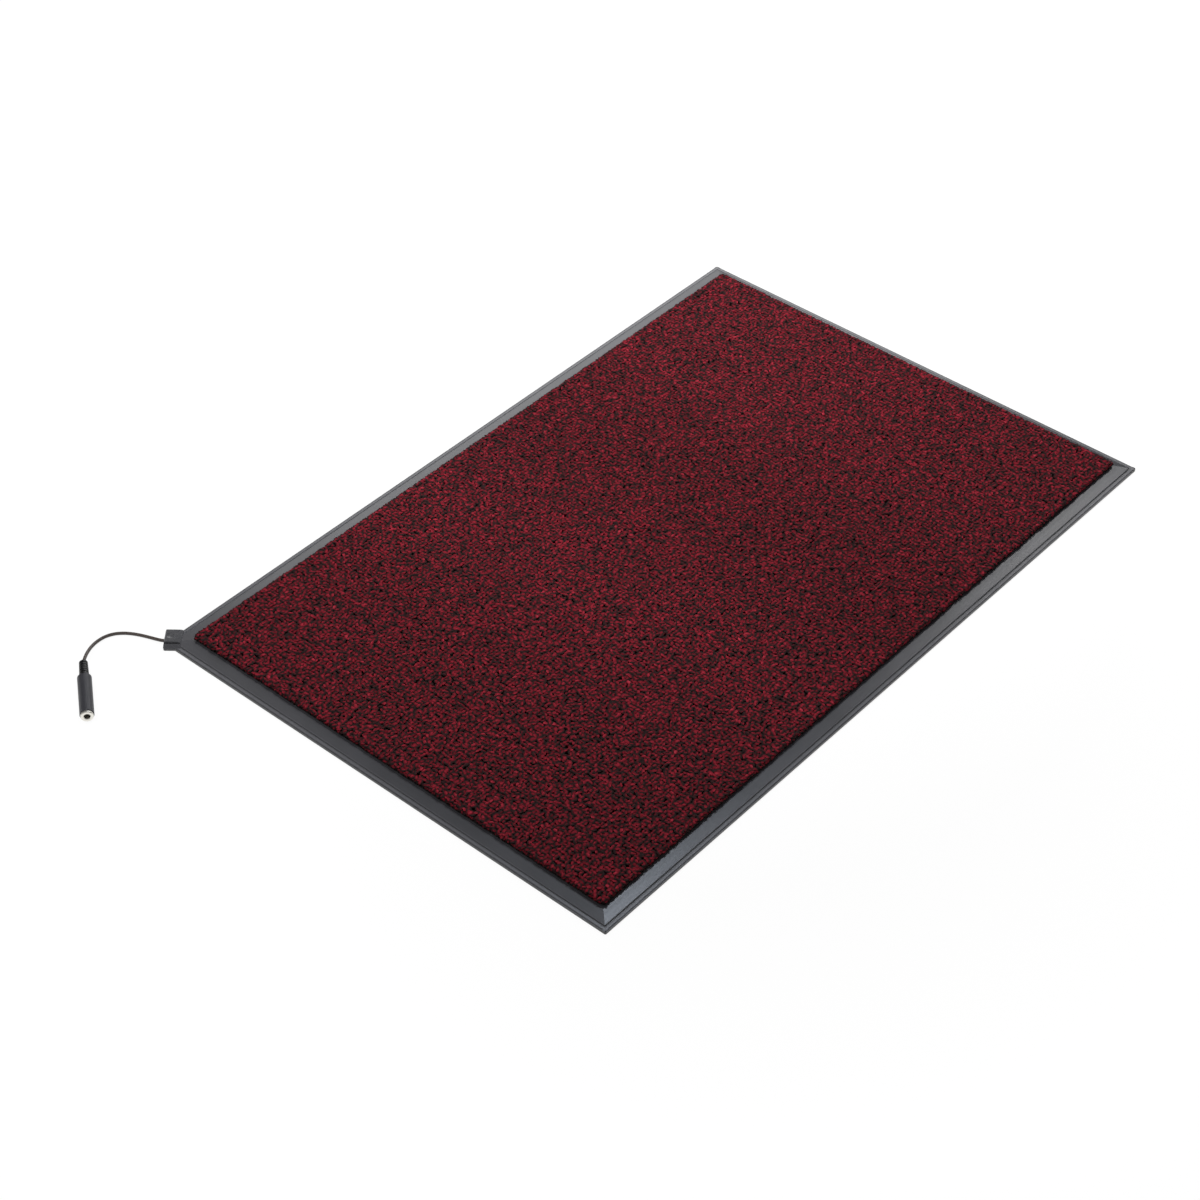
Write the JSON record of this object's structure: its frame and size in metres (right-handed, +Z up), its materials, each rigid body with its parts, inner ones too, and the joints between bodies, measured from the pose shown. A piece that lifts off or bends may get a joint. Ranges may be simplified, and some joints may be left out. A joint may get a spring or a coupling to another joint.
{
  "type": "safety mat",
  "caption": "Carpeted pressure-sensor floor mat with a sloping rubber border, a corner cable lug, a short lead and an in-line jack socket that signals when someone steps on it.",
  "frame": {"origin": "middle of the base sheet's underside, on the floor", "axes": "+X along the mat's long side, +Y along its short side, +Z up; the lug is at the -X +Y corner"},
  "size_m": [1.0326, 0.6562, 0.0148],
  "materials": {
    "sheet_rubber": "moulded, satin",
    "lug_rubber": "moulded, satin",
    "pile_yarn": "cut pile, dark red and black",
    "tufting_cloth": "woven",
    "contact_foil": "bright foil",
    "spacer_foam": "closed-cell foam",
    "brass": "bright strip",
    "core_red": "extruded",
    "core_black": "extruded",
    "cord_pvc": "extruded, satin",
    "boot_pvc": "moulded, satin",
    "sleeve_plastic": "moulded, fine matt",
    "nickel_plate": "nickel plate, polished",
    "wafer_board": "pressed board",
    "rivet_steel": "plain"
  },
  "bodies": {
    "root": {"base_mat": "sheet_rubber", "top_mat": "sheet_rubber", "cable_lug": "lug_rubber", "carpet_pile": "pile_yarn", "carpet_backing": "tufting_cloth", "lower_contact": "contact_foil", "upper_contact": "contact_foil", "spacer_foam": "spacer_foam", "lower_terminal": "brass", "upper_terminal": "brass", "sleeve_tag": "brass", "tip_spring": "brass", "lower_core": "core_red", "upper_core": "core_black", "tip_core": "core_red", "sleeve_core": "core_black", "lead": "cord_pvc", "lead_boot": "boot_pvc", "socket_sleeve": "sleeve_plastic", "socket_bush": "nickel_plate", "lower_wafer": "wafer_board", "upper_wafer": "wafer_board", "stack_rivet": "rivet_steel"}
  },
  "joints": []
}
